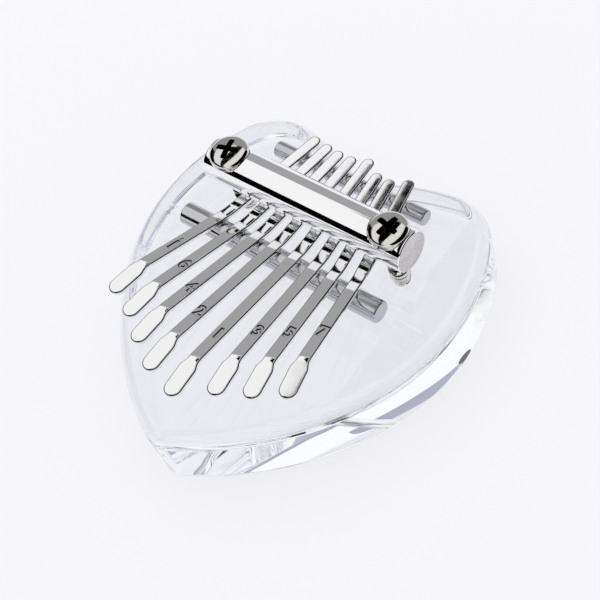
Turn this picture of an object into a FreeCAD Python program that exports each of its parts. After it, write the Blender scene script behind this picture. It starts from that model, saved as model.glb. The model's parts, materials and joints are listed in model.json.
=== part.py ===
import FreeCAD
import Part

import math
import os
from collections import namedtuple

# An eight-key thumb piano: a solid clear heart-shaped body, two bridge rods, eight steel keys laid over
# the rods, and a round pressure bar that two screws pull down on the keys.
# Millimetres. +X runs along the rods to the player's right, +Y points away from the player, +Z is up.
# The origin is the middle of the underside of the heart's outline.

# ---- heart body -------------------------------------------------------------------------------------
BODY_THICKNESS = 15.0
LOBE_CENTRE_X = 20.0          # half the distance between the centres of the two lobes
LOBE_RADIUS = 11.7
CHEEK_RADIUS = 41.6           # the widest part of the side
CHEEK_START = 30.0            # degrees above +X where lobe and cheek arcs meet
FLANK_RADIUS = 64.4           # the long side that runs down to the tip
FLANK_START = -28.3           # degrees above +X where cheek and flank arcs meet
TIP_RADIUS = 6.0
BROW_RADIUS = 50.0            # the shallow arc from the lobe's top in to the cleft
BROW_START = 98.0             # degrees above +X where lobe and brow arcs meet
CLEFT_RADIUS = 5.0            # hollow arc at the bottom of the cleft
TOP_EDGE_RADIUS = 3.2
BOTTOM_EDGE_RADIUS = 2.2
BRIDGE_SEAT_DEPTH = 0.3       # how deep each bridge rod lies in its seat
SEAT_END_ROOM = 0.2           # free length at each end of the rear bridge's seat

# ---- rods -------------------------------------------------------------------------------------------
BAR_SETBACK = 20.6            # from the line across the lobes' tops to the pressure bar's axis
BAR_DIAMETER = 8.6
BAR_LENGTH = 47.4
BAR_CHAMFER = 0.4
FRONT_BRIDGE_DIAMETER = 4.6
FRONT_BRIDGE_LENGTH = 48.0
FRONT_BRIDGE_SHIFT = -1.2     # the rod was laid a little to the left
FRONT_BRIDGE_REACH = 10.7     # from the pressure bar's axis forward to the front bridge's axis
REAR_BRIDGE_DIAMETER = 3.4
REAR_BRIDGE_LENGTH = 36.6
REAR_BRIDGE_SHIFT = -0.3
REAR_BRIDGE_REACH = 11.4      # from the pressure bar's axis back to the rear bridge's axis
BRIDGE_CHAMFER = 0.35

# ---- screws: 4.2 x 18 mm, pan head, cross recess, thread-forming --------------------------------------
SCREW_SPACING = 38.2
SCREW_DIAMETER = 4.2
SCREW_LENGTH = 18.0
HEAD_DIAMETER = 8.0
HEAD_HEIGHT = 2.6
HEAD_RIM_HEIGHT = 1.15
HEAD_SHOULDER = 0.75          # share of the dome's height that its shoulder reaches
HEAD_SINK = 1.6               # depth of the spot-face under the head, below the bar's top
SPOT_FACE_ROOM = 0.1          # radial room round the head in its spot-face
BAR_HOLE_ROOM = 0.25          # radial room round the screw in the bar
TAPPED_HOLE_ROOM = 0.05       # radial room round the thread in the body
TAPPED_HOLE_SPARE = 3.4       # free depth below the screw's end
DRILL_HALF_ANGLE = 59.0       # degrees, of the cone at the tapped hole's end
SCREW_POINT = 0.5             # chamfer at the screw's end
RECESS_SPAN = 4.6             # tip to tip across the cross
RECESS_SLOT = 1.0
RECESS_DEPTH = 1.7
RECESS_CORE_DIAMETER = 2.2

# ---- keys -------------------------------------------------------------------------------------------
KEY_THICKNESS = 1.1
KEY_WIDTH = 2.5
PAD_WIDTH = 3.6
PAD_LENGTH = 8.5              # from the bend to the pad's round end
PAD_FLARE_LENGTH = 3.0        # where the shaft widens into the pad, measured forward from the bend
PAD_DROP = 1.7                # degrees that the pad slopes down to its end
KEY_RISE = 13.6               # degrees that the free part climbs from the front bridge
CLAMP_TILT = 1.5              # degrees that the clamped part climbs from the rear bridge to the bar
BEND_RADIUS = 3.0             # middle of the steel, at the bend into the pad
KEY_SPLIT = 0.16              # gap between a key's clamped part and its free part

# One row a key, from the player's left to the right. A key's place is where its middle crosses below
# the pressure bar, its fan is the angle that it turns outward, its reach runs forward from the front
# bridge to the bend, and its tail runs back from the pressure bar.
Key = namedtuple("Key", "note place fan reach tail")
KEYS = (
    Key("1_high", -14.5, -11.9, 17.9, 16.5),
    Key("6", -10.1, -8.2, 20.6, 15.9),
    Key("4", -6.2, -4.9, 24.4, 15.5),
    Key("2", -2.2, -1.4, 28.1, 15.5),
    Key("1", 2.2, 2.2, 30.4, 16.7),
    Key("3", 6.4, 5.3, 25.9, 14.6),
    Key("5", 10.2, 8.5, 23.0, 14.6),
    Key("7", 14.5, 10.8, 19.4, 16.4),
)

OVERCUT = 5.0                 # how far a cutting tool passes beyond what it cuts
SAME_HEIGHT = 1e-6            # two heights nearer than this are one
FULL_TURN = 360.0
X_AXIS = FreeCAD.Vector(1, 0, 0)
UP = FreeCAD.Vector(0, 0, 1)


def polar(centre, radius, degrees):
    """The point of a circle in the XY plane at an angle above +X."""
    angle = math.radians(degrees)
    return FreeCAD.Vector(centre.x + radius * math.cos(angle), centre.y + radius * math.sin(angle), 0)


def arc(centre, radius, start, end):
    """An edge along a circle in the XY plane, by way of the angle midway between start and end."""
    middle = (start + end) / 2
    points = [polar(centre, radius, angle) for angle in (start, middle, end)]
    return Part.Arc(*points).toShape()


def angle_from(centre, point):
    """The angle above +X, in degrees, at which a point is seen from a centre."""
    return math.degrees(math.atan2(point.y - centre.y, point.x - centre.x))


def heart_arcs():
    """The edges of the right half of the heart from the cleft to the tip, with a lobe at y = 0."""
    lobe = FreeCAD.Vector(LOBE_CENTRE_X, 0, 0)
    brow = polar(lobe, LOBE_RADIUS - BROW_RADIUS, BROW_START)
    cheek = polar(lobe, LOBE_RADIUS - CHEEK_RADIUS, CHEEK_START)
    flank = polar(cheek, CHEEK_RADIUS - FLANK_RADIUS, FLANK_START)
    cleft_rise = math.sqrt((BROW_RADIUS + CLEFT_RADIUS) ** 2 - brow.x ** 2)
    cleft = FreeCAD.Vector(0, brow.y + cleft_rise, 0)
    tip_fall = math.sqrt((FLANK_RADIUS - TIP_RADIUS) ** 2 - flank.x ** 2)
    tip = FreeCAD.Vector(0, flank.y - tip_fall, 0)
    cleft_end = angle_from(brow, cleft)
    flank_end = angle_from(flank, tip)
    down = -90.0
    return [
        arc(cleft, CLEFT_RADIUS, down, cleft_end - 180.0),
        arc(brow, BROW_RADIUS, cleft_end, BROW_START),
        arc(lobe, LOBE_RADIUS, BROW_START, CHEEK_START),
        arc(cheek, CHEEK_RADIUS, CHEEK_START, FLANK_START),
        arc(flank, FLANK_RADIUS, FLANK_START, flank_end),
        arc(tip, TIP_RADIUS, flank_end, down),
    ]


def heart_wire():
    """The closed outline of the heart, with the middle of its length at y = 0."""
    right = heart_arcs()
    left = [edge.mirror(FreeCAD.Vector(0, 0, 0), X_AXIS) for edge in right]
    wire = Part.Wire(Part.__sortEdges__(right + left))
    box = wire.optimalBoundingBox()
    wire.translate(FreeCAD.Vector(0, -(box.YMin + box.YMax) / 2, 0))
    return wire


HEART = heart_wire()
LOBE_TOP_Y = HEART.optimalBoundingBox().YMax
HALF_WIDTH = HEART.optimalBoundingBox().XMax

# ---- places worked out from the sizes above -----------------------------------------------------------
BAR_Y = LOBE_TOP_Y - BAR_SETBACK
BAR_RADIUS = BAR_DIAMETER / 2
FRONT_RADIUS = FRONT_BRIDGE_DIAMETER / 2
REAR_RADIUS = REAR_BRIDGE_DIAMETER / 2
FRONT_AXIS = FreeCAD.Vector(FRONT_BRIDGE_SHIFT, BAR_Y - FRONT_BRIDGE_REACH,
                            BODY_THICKNESS + FRONT_RADIUS - BRIDGE_SEAT_DEPTH)
REAR_AXIS = FreeCAD.Vector(REAR_BRIDGE_SHIFT, BAR_Y + REAR_BRIDGE_REACH,
                           BODY_THICKNESS + REAR_RADIUS - BRIDGE_SEAT_DEPTH)


def climbing(degrees):
    """The direction, in the YZ plane, of steel that climbs towards the player at an angle."""
    angle = math.radians(degrees)
    return FreeCAD.Vector(0, -math.cos(angle), math.sin(angle))


def facing_up(degrees):
    """The upward normal of steel that climbs towards the player at an angle."""
    angle = math.radians(degrees)
    return FreeCAD.Vector(0, math.sin(angle), math.cos(angle))


# Seen from the side, the underside of every key is one line: it lies on the rear bridge, runs straight
# below the bar, and then curves up, to leave the front bridge at KEY_RISE.
REAR_TOUCH = FreeCAD.Vector(0, REAR_AXIS.y, REAR_AXIS.z) + facing_up(CLAMP_TILT) * REAR_RADIUS
CREST = FreeCAD.Vector(0, FRONT_AXIS.y, FRONT_AXIS.z) + facing_up(KEY_RISE) * FRONT_RADIUS
RISE_SLOPE = math.tan(math.radians(KEY_RISE))
TILT_SLOPE = math.tan(math.radians(CLAMP_TILT))
LEVEL_GAP = CREST.z - REAR_TOUCH.z - (REAR_TOUCH.y - CREST.y) * TILT_SLOPE
CORNER_RUN = LEVEL_GAP / (RISE_SLOPE - TILT_SLOPE)        # from the crest back to where the slopes cross
CURVE_TANGENT = CORNER_RUN / math.cos(math.radians(KEY_RISE))
CURVE_RADIUS = CURVE_TANGENT / math.tan(math.radians((KEY_RISE - CLAMP_TILT) / 2))
CURVE_CENTRE = CREST + facing_up(KEY_RISE) * CURVE_RADIUS
BAR_UNDERSIDE_LIFT = (REAR_TOUCH.y - BAR_Y) * TILT_SLOPE
BAR_Z = REAR_TOUCH.z + BAR_UNDERSIDE_LIFT + (KEY_THICKNESS + BAR_RADIUS) / math.cos(math.radians(CLAMP_TILT))
HEAD_SEAT_Z = BAR_Z + BAR_RADIUS - HEAD_SINK


def chamfered_rod(diameter, length, chamfer):
    """A rod along X, centred on the origin, with chamfered ends."""
    rod = Part.makeCylinder(diameter / 2, length, FreeCAD.Vector(-length / 2, 0, 0), X_AXIS)
    ends = [edge for edge in rod.Edges if edge.Closed and edge.Length > diameter]
    return rod.makeChamfer(chamfer, ends)


def moved(shape, place):
    """The shape carried from the origin to a place."""
    shape.translate(place)
    return shape


def screw_places():
    """The points on the two screws' axes at the height of the bar's axis, left then right."""
    return [FreeCAD.Vector(side * SCREW_SPACING / 2, BAR_Y, BAR_Z) for side in (-1, 1)]


def upright_cylinder(radius, place, low, high):
    """A cylinder on a vertical axis between two heights."""
    return Part.makeCylinder(radius, high - low, FreeCAD.Vector(place.x, place.y, low), UP)


def outline_corner_edges(shape, height):
    """The edges of a plate's outline that lie at one height."""
    return [edge for edge in shape.Edges
            if abs(edge.BoundBox.ZMin - height) < SAME_HEIGHT
            and abs(edge.BoundBox.ZMax - height) < SAME_HEIGHT]


def tapped_hole(place):
    """The blind hole for one screw, with the cone that a drill leaves at its end."""
    radius = SCREW_DIAMETER / 2 + TAPPED_HOLE_ROOM
    floor = HEAD_SEAT_Z - SCREW_LENGTH - TAPPED_HOLE_SPARE
    bore = upright_cylinder(radius, place, floor, BODY_THICKNESS + OVERCUT)
    drill_point = radius / math.tan(math.radians(DRILL_HALF_ANGLE))
    cone = Part.makeCone(0, radius, drill_point, FreeCAD.Vector(place.x, place.y, floor - drill_point), UP)
    return bore.fuse(cone)


def heart_body():
    """The solid heart, with its bridge seats and tapped holes."""
    body = Part.Face(HEART).extrude(UP * BODY_THICKNESS)
    body = body.makeFillet(TOP_EDGE_RADIUS, outline_corner_edges(body, BODY_THICKNESS))
    body = body.makeFillet(BOTTOM_EDGE_RADIUS, outline_corner_edges(body, 0.0))
    front_seat_length = 2 * (HALF_WIDTH + OVERCUT)
    front_seat = moved(chamfered_rod(FRONT_BRIDGE_DIAMETER, front_seat_length, BRIDGE_CHAMFER),
                       FreeCAD.Vector(0, FRONT_AXIS.y, FRONT_AXIS.z))
    rear_seat_length = REAR_BRIDGE_LENGTH + 2 * SEAT_END_ROOM
    rear_seat = Part.makeCylinder(REAR_RADIUS, rear_seat_length,
                                  REAR_AXIS - X_AXIS * rear_seat_length / 2, X_AXIS)
    tools = [front_seat, rear_seat] + [tapped_hole(place) for place in screw_places()]
    return body.cut(tools)


def pressure_bar():
    """The round bar, with a spot-face and a through hole for each screw."""
    bar = moved(chamfered_rod(BAR_DIAMETER, BAR_LENGTH, BAR_CHAMFER), FreeCAD.Vector(0, BAR_Y, BAR_Z))
    top = BAR_Z + BAR_RADIUS + OVERCUT
    bottom = BAR_Z - BAR_RADIUS - OVERCUT
    spot_radius = HEAD_DIAMETER / 2 + SPOT_FACE_ROOM
    hole_radius = SCREW_DIAMETER / 2 + BAR_HOLE_ROOM
    tools = []
    for place in screw_places():
        tools.append(upright_cylinder(spot_radius, place, HEAD_SEAT_Z, top))
        tools.append(upright_cylinder(hole_radius, place, bottom, top))
    return bar.cut(tools)


def front_bridge():
    """The thicker rod, on the playing side."""
    return moved(chamfered_rod(FRONT_BRIDGE_DIAMETER, FRONT_BRIDGE_LENGTH, BRIDGE_CHAMFER), FRONT_AXIS)


def rear_bridge():
    """The thinner rod, under the keys' tails."""
    return moved(chamfered_rod(REAR_BRIDGE_DIAMETER, REAR_BRIDGE_LENGTH, BRIDGE_CHAMFER), REAR_AXIS)


def cross_recess(top):
    """The cutter of the driver's cross, standing on the Z axis below a height."""
    base = top - RECESS_DEPTH
    height = RECESS_DEPTH + OVERCUT
    half_span = RECESS_SPAN / 2
    half_slot = RECESS_SLOT / 2
    along_x = Part.makeBox(RECESS_SPAN, RECESS_SLOT, height, FreeCAD.Vector(-half_span, -half_slot, base))
    along_y = Part.makeBox(RECESS_SLOT, RECESS_SPAN, height, FreeCAD.Vector(-half_slot, -half_span, base))
    core = Part.makeCylinder(RECESS_CORE_DIAMETER / 2, height, FreeCAD.Vector(0, 0, base), UP)
    return along_x.fuse([along_y, core])


def screw(place):
    """A pan-head screw, its thread at the outer diameter, with its head on the spot-face."""
    radius = SCREW_DIAMETER / 2
    head_radius = HEAD_DIAMETER / 2
    crown_radius = RECESS_SPAN / 2
    outline = [(0, -SCREW_LENGTH), (radius - SCREW_POINT, -SCREW_LENGTH), (radius, SCREW_POINT - SCREW_LENGTH),
               (radius, 0), (head_radius, 0), (head_radius, HEAD_RIM_HEIGHT)]
    points = [FreeCAD.Vector(across, 0, height) for across, height in outline]
    edges = [Part.makeLine(first, second) for first, second in zip(points, points[1:])]
    crown = FreeCAD.Vector(0, 0, HEAD_HEIGHT)
    shoulder_height = HEAD_RIM_HEIGHT + HEAD_SHOULDER * (HEAD_HEIGHT - HEAD_RIM_HEIGHT)
    shoulder = FreeCAD.Vector((head_radius + crown_radius) / 2, 0, shoulder_height)
    edges.append(Part.Arc(points[-1], shoulder, crown).toShape())
    edges.append(Part.makeLine(crown, points[0]))
    solid = Part.Face(Part.Wire(edges)).revolve(FreeCAD.Vector(0, 0, 0), UP, FULL_TURN)
    solid = solid.cut(cross_recess(HEAD_HEIGHT))
    return moved(solid, FreeCAD.Vector(place.x, place.y, HEAD_SEAT_Z))


def key_crest(key):
    """The point on the line where keys leave the front bridge, below the middle of a key."""
    forward = BAR_Y - CREST.y
    return FreeCAD.Vector(key.place + forward * math.tan(math.radians(key.fan)), CREST.y, CREST.z)


def clamped_profile():
    """The side view of the clamped steel as a face in the YZ plane, long enough for every tail."""
    lift = KEY_THICKNESS
    back = REAR_TOUCH - climbing(CLAMP_TILT) * (REAR_BRIDGE_REACH + OVERCUT)
    back_top = back + facing_up(CLAMP_TILT) * lift

    def on_curve(degrees, inward):
        return CURVE_CENTRE - facing_up(degrees) * (CURVE_RADIUS - inward)

    middle = (KEY_RISE + CLAMP_TILT) / 2
    low_in, low_mid, low_out = [on_curve(angle, 0) for angle in (CLAMP_TILT, middle, KEY_RISE)]
    high_in, high_mid, high_out = [on_curve(angle, lift) for angle in (CLAMP_TILT, middle, KEY_RISE)]
    onward = climbing(KEY_RISE) * OVERCUT
    return Part.Face(Part.Wire([
        Part.makeLine(back, low_in),
        Part.Arc(low_in, low_mid, low_out).toShape(),
        Part.makeLine(low_out, low_out + onward),
        Part.makeLine(low_out + onward, high_out + onward),
        Part.makeLine(high_out + onward, high_out),
        Part.Arc(high_out, high_mid, high_in).toShape(),
        Part.makeLine(high_in, back_top),
        Part.makeLine(back_top, back),
    ]))


def anchor_outline(key):
    """The plan view of a clamped part as a face at z = 0, along +X from the crest to the round tail."""
    half = KEY_WIDTH / 2
    front = KEY_SPLIT / 2
    length = key.tail + (BAR_Y - CREST.y) / math.cos(math.radians(key.fan))

    def spot(along, across):
        return FreeCAD.Vector(along, across, 0)

    return Part.Face(Part.Wire([
        Part.makeLine(spot(length - half, half), spot(front, half)),
        Part.makeLine(spot(front, half), spot(front, -half)),
        Part.makeLine(spot(front, -half), spot(length - half, -half)),
        Part.Arc(spot(length - half, -half), spot(length, 0), spot(length - half, half)).toShape(),
    ]))


def key_anchor(key):
    """A key's clamped part: a strip on both bridges, curved up to the front one, with a round tail."""
    half_span = BAR_LENGTH / 2
    side = clamped_profile()
    side.translate(X_AXIS * -half_span)
    strip = side.extrude(X_AXIS * BAR_LENGTH)
    plan = anchor_outline(key)
    plan.rotate(FreeCAD.Vector(0, 0, 0), UP, key.fan + 90.0)
    crest = key_crest(key)
    plan.translate(FreeCAD.Vector(crest.x, crest.y, BODY_THICKNESS))
    return strip.common(plan.extrude(UP * BAR_Z))


def tongue_profile(reach):
    """The side view of a free part as a face in the XZ plane, from x = 0 at the crest."""
    rise = math.radians(KEY_RISE)
    drop = math.radians(PAD_DROP)
    inner = BEND_RADIUS - KEY_THICKNESS / 2
    outer = BEND_RADIUS + KEY_THICKNESS / 2
    setback = BEND_RADIUS * math.tan((rise + drop) / 2)
    run = reach - setback
    start = FreeCAD.Vector(KEY_SPLIT / 2, 0, KEY_SPLIT / 2 * math.tan(rise))
    bend_low = FreeCAD.Vector(run * math.cos(rise), 0, run * math.sin(rise))
    centre = bend_low + FreeCAD.Vector(math.sin(rise), 0, -math.cos(rise)) * inner

    def round_the_bend(radius, angle):
        return centre + FreeCAD.Vector(-math.sin(angle), 0, math.cos(angle)) * radius

    pad = FreeCAD.Vector(math.cos(drop), 0, -math.sin(drop)) * (PAD_LENGTH + OVERCUT)
    middle = (rise - drop) / 2
    low_in, low_mid, low_out = [round_the_bend(inner, angle) for angle in (rise, middle, -drop)]
    high_in, high_mid, high_out = [round_the_bend(outer, angle) for angle in (rise, middle, -drop)]
    start_top = start + FreeCAD.Vector(0, 0, KEY_THICKNESS / math.cos(rise))
    return Part.Face(Part.Wire([
        Part.makeLine(start, low_in),
        Part.Arc(low_in, low_mid, low_out).toShape(),
        Part.makeLine(low_out, low_out + pad),
        Part.makeLine(low_out + pad, high_out + pad),
        Part.makeLine(high_out + pad, high_out),
        Part.Arc(high_out, high_mid, high_in).toShape(),
        Part.makeLine(high_in, start_top),
        Part.makeLine(start_top, start),
    ]))


def tongue_outline(reach):
    """The plan view of a free part as a face in the XY plane, along +X from the crest."""
    shaft_end = reach * math.cos(math.radians(KEY_RISE))
    pad_end = shaft_end + PAD_LENGTH * math.cos(math.radians(PAD_DROP))
    half = KEY_WIDTH / 2
    half_pad = PAD_WIDTH / 2
    flare_end = shaft_end + PAD_FLARE_LENGTH
    round_start = pad_end - half_pad

    def spot(along, across):
        return FreeCAD.Vector(along, across, 0)

    return Part.Face(Part.Wire([
        Part.makeLine(spot(-OVERCUT, half), spot(shaft_end, half)),
        Part.makeLine(spot(shaft_end, half), spot(flare_end, half_pad)),
        Part.makeLine(spot(flare_end, half_pad), spot(round_start, half_pad)),
        Part.Arc(spot(round_start, half_pad), spot(pad_end, 0), spot(round_start, -half_pad)).toShape(),
        Part.makeLine(spot(round_start, -half_pad), spot(flare_end, -half_pad)),
        Part.makeLine(spot(flare_end, -half_pad), spot(shaft_end, -half)),
        Part.makeLine(spot(shaft_end, -half), spot(-OVERCUT, -half)),
        Part.makeLine(spot(-OVERCUT, -half), spot(-OVERCUT, half)),
    ]))


def key_tongue(key):
    """A key's free part: it climbs from the front bridge and bends down into the playing pad.

    A fanned key lies on the rod by one corner, so its middle stands a little above the line of the crest.
    """
    side = tongue_profile(key.reach)
    side.translate(FreeCAD.Vector(0, -PAD_WIDTH, 0))
    strip = side.extrude(FreeCAD.Vector(0, 2 * PAD_WIDTH, 0))
    plan = tongue_outline(key.reach)
    plan.translate(FreeCAD.Vector(0, 0, -OVERCUT))
    tongue = strip.common(plan.extrude(UP * (key.reach + 2 * OVERCUT)))
    tongue.rotate(FreeCAD.Vector(0, 0, 0), UP, key.fan - 90.0)
    corner_lift = KEY_WIDTH / 2 * math.tan(math.radians(abs(key.fan))) * RISE_SLOPE
    return moved(tongue.Solids[0], key_crest(key) + UP * corner_lift)


def build_nodes():
    """Every sub-part by its node's name."""
    nodes = {
        "heart_body": heart_body(),
        "front_bridge": front_bridge(),
        "rear_bridge": rear_bridge(),
        "pressure_bar": pressure_bar(),
    }
    for name, place in zip(("screw_left", "screw_right"), screw_places()):
        nodes[name] = screw(place)
    for key in KEYS:
        nodes[f"key_{key.note}_anchor"] = key_anchor(key)
        nodes[f"key_{key.note}_tongue"] = key_tongue(key)
    return nodes


def report_joints():
    """Print where each key flexes, in metres, for whoever writes the joints down."""
    for key in KEYS:
        crest = key_crest(key) + FreeCAD.Vector(0, 0, KEY_THICKNESS / 2)
        fan = math.radians(key.fan)
        print(f"key_{key.note}: pos ({crest.x / 1000:.5f}, {crest.y / 1000:.5f}, {crest.z / 1000:.5f})"
              f" axis ({math.cos(fan):.5f}, {math.sin(fan):.5f}, 0)")


os.makedirs("parts", exist_ok=True)
for name, shape in build_nodes().items():
    solid = shape.Solids[0]
    box = solid.optimalBoundingBox()
    print(f"{name}: solids {len(shape.Solids)}, valid {solid.isValid()}, volume {solid.Volume:.2f},"
          f" z {box.ZMin:.2f} to {box.ZMax:.2f}, y {box.YMin:.2f} to {box.YMax:.2f}")
    solid.exportStep(f"parts/{name}.step")
report_joints()
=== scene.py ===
"""An eight-key thumb piano with a clear heart-shaped body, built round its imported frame.

Lengths in the dataclasses are millimetres and angles are degrees. +X runs along the rods to the
player's right, +Y points away from the player and +Z is up, as in the frame.
"""

from __future__ import annotations

import json
import logging
import math
from contextlib import contextmanager
from dataclasses import dataclass, field
from enum import Enum
from typing import Any, Callable, Iterator, Sequence

import bmesh
import bpy
from mathutils import Matrix, Vector

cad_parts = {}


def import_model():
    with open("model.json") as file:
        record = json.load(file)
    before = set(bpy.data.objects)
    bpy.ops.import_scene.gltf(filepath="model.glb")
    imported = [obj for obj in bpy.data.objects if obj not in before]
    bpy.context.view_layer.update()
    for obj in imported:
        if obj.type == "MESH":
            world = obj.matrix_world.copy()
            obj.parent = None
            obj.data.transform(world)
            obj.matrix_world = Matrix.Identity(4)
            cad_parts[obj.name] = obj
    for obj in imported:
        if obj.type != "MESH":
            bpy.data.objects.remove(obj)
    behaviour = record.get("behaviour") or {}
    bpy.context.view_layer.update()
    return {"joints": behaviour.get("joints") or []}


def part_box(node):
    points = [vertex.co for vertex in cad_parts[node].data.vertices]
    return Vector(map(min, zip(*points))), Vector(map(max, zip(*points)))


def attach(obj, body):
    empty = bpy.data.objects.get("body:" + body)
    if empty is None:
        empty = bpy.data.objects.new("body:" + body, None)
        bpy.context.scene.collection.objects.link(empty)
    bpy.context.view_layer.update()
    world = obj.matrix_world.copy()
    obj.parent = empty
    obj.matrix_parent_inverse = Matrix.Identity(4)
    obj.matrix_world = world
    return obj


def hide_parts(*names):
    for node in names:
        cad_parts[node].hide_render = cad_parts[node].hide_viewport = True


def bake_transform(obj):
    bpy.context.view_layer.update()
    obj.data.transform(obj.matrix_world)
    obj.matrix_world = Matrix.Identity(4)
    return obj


LOG = logging.getLogger("thumb_piano")
MM = 0.001
ROOT_BODY = "instrument"
# Lengths this close are equal, and corners this close are the same corner, in metres.
NEAR = 1e-6
SEAM = 0.002 * MM
# A face squarely across an axis has at least this much of its normal along it.
SQUARE_ON = 0.999
FULL_TURN = 360.0
UP = Vector((0, 0, 1))
ALONG_RODS = Vector((1, 0, 0))


class Pick(Enum):
    """What an edit works on."""

    VERTS = "VERT"
    EDGES = "EDGE"
    FACES = "FACE"


class Slot(Enum):
    """The record's material slots."""

    ACRYLIC = "clear_acrylic"
    BAR = "bar_chrome"
    BRIDGE = "bridge_steel"
    SCREW = "screw_nickel"
    KEY = "key_steel"


# ---- modelling ------------------------------------------------------------------------------------------


def deselect_everything() -> None:
    """Leave no object selected, so that an operator touches only the piece in hand."""
    bpy.ops.object.select_all(action="DESELECT")


def hold(piece: bpy.types.Object) -> None:
    """Make a piece the only one that an operator touches."""
    deselect_everything()
    bpy.context.view_layer.objects.active = piece
    piece.select_set(True)


def named(name: str) -> bpy.types.Object:
    """Name the object that an operator has just made.

    Args:
        name: the piece's name.

    Returns:
        The active object.
    """
    piece = bpy.context.active_object
    piece.name = name
    piece.data.name = name
    return piece


@contextmanager
def editing(piece: bpy.types.Object, kind: Pick) -> Iterator[None]:
    """Work on one piece in edit mode.

    Args:
        piece: the piece to edit.
        kind: whether vertices, edges or faces are picked.
    """
    hold(piece)
    bpy.ops.object.mode_set(mode="EDIT")
    bpy.ops.mesh.select_mode(type=kind.value)
    yield
    bpy.ops.object.mode_set(mode="OBJECT")


def pick(piece: bpy.types.Object, kind: Pick, wanted: Callable[[Any], bool]) -> None:
    """Select exactly the elements that pass a test, in edit mode.

    Args:
        piece: the piece that is being edited.
        kind: the sort of element that the test takes.
        wanted: says whether an element is selected.
    """
    bpy.ops.mesh.select_all(action="DESELECT")
    shape = bmesh.from_edit_mesh(piece.data)
    elements = {Pick.VERTS: shape.verts, Pick.EDGES: shape.edges, Pick.FACES: shape.faces}[kind]
    for element in [element for element in elements if wanted(element)]:
        element.select_set(True)
    shape.select_flush_mode()
    bmesh.update_edit_mesh(piece.data)


def pick_all() -> None:
    """Select everything, in edit mode."""
    bpy.ops.mesh.select_all(action="SELECT")


def settle(piece: bpy.types.Object) -> None:
    """Put a piece's place, turn and size into its mesh."""
    hold(piece)
    bpy.ops.object.transform_apply(location=True, rotation=True, scale=True)


def outward(piece: bpy.types.Object) -> None:
    """Close a closed mesh's seams and point its faces outwards."""
    with editing(piece, Pick.FACES):
        pick_all()
        bpy.ops.mesh.remove_doubles(threshold=SEAM)
        bpy.ops.mesh.normals_make_consistent(inside=False)


def apply_modifier(piece: bpy.types.Object, kind: str, **settings: Any) -> None:
    """Add a modifier and apply it at once.

    Args:
        piece: the piece to change.
        kind: the modifier's type.
        settings: its properties.
    """
    hold(piece)
    modifier = piece.modifiers.new(kind.lower(), kind)
    for name, value in settings.items():
        setattr(modifier, name, value)
    bpy.ops.object.modifier_apply(modifier=modifier.name)


def cut(piece: bpy.types.Object, tools: Sequence[bpy.types.Object]) -> None:
    """Cut tools out of a piece and throw the tools away.

    Args:
        piece: the closed piece that is cut.
        tools: closed shapes, which may cross themselves.
    """
    for tool in tools:
        apply_modifier(piece, "BOOLEAN", object=tool, operation="DIFFERENCE", solver="EXACT", use_self=True)
        bpy.data.objects.remove(tool)


def smooth(piece: bpy.types.Object, degrees: float, keep_flats: bool = True) -> None:
    """Shade a piece smooth except across edges sharper than an angle.

    Args:
        piece: the piece to shade.
        degrees: the angle.
        keep_flats: whether large faces stay flat up to their edges.
    """
    hold(piece)
    bpy.ops.object.shade_smooth_by_angle(angle=math.radians(degrees))
    if keep_flats:
        apply_modifier(piece, "WEIGHTED_NORMAL", mode="FACE_AREA", weight=50, keep_sharp=True)


def single_vertex(name: str, place: Vector) -> bpy.types.Object:
    """A mesh of one selected vertex, to be drawn out into an outline.

    Args:
        name: the piece's name.
        place: the vertex, in metres.

    Returns:
        The new piece.
    """
    deselect_everything()
    bpy.ops.mesh.primitive_plane_add(size=1.0, location=(0, 0, 0))
    piece = named(name)
    with editing(piece, Pick.VERTS):
        pick_all()
        bpy.ops.mesh.merge(type="CENTER")
        bpy.ops.transform.translate(value=place)
    return piece


def sweep_round(centre: Vector, axis: Vector, degrees: float, steps: int) -> None:
    """Draw the picked vertices or edges out along an arc.

    Args:
        centre: a point on the arc's axis, in metres.
        axis: the direction of the axis.
        degrees: how far the arc turns, right-handed about the axis.
        steps: how many sides it has.
    """
    bpy.ops.mesh.spin(steps=steps, angle=-math.radians(degrees), center=centre, axis=axis)


def cylinder(name: str, radius: float, length: float, middle: Vector, along: str,
             sides: int) -> bpy.types.Object:
    """A closed cylinder along X or Z.

    Args:
        name: the piece's name.
        radius: in metres.
        length: in metres.
        middle: its centre, in metres.
        along: "X" or "Z".
        sides: how many flat sides it has.

    Returns:
        The new piece, with its place in its mesh.
    """
    deselect_everything()
    turn = (0.0, math.pi / 2, 0.0) if along == "X" else (0.0, 0.0, 0.0)
    bpy.ops.mesh.primitive_cylinder_add(vertices=sides, radius=radius, depth=length, location=middle,
                                        rotation=turn)
    piece = named(name)
    settle(piece)
    return piece


def turned(name: str, outline: Sequence[tuple[float, float]], sides: int) -> bpy.types.Object:
    """A closed shape turned about the Z axis.

    Args:
        name: the piece's name.
        outline: its corners from the bottom of the axis to the top, as distance from the axis and
            height, in millimetres.
        sides: how many flat sides it has.

    Returns:
        The new piece.
    """
    first = outline[0]
    piece = single_vertex(name, Vector((first[0], 0, first[1])) * MM)
    with editing(piece, Pick.VERTS):
        pick_all()
        for (across, low), (further, high) in zip(outline, outline[1:]):
            draw_out(further - across, 0, high - low)
        pick_all()
        sweep_round(Vector((0, 0, 0)), UP, FULL_TURN, sides)
    outward(piece)
    return piece


def duplicate(piece: bpy.types.Object, name: str) -> bpy.types.Object:
    """A copy of a piece with its own mesh.

    Args:
        piece: what is copied.
        name: the copy's name.

    Returns:
        The copy.
    """
    copy = piece.copy()
    copy.data = piece.data.copy()
    copy.name = name
    copy.data.name = name
    bpy.context.scene.collection.objects.link(copy)
    return copy


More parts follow.
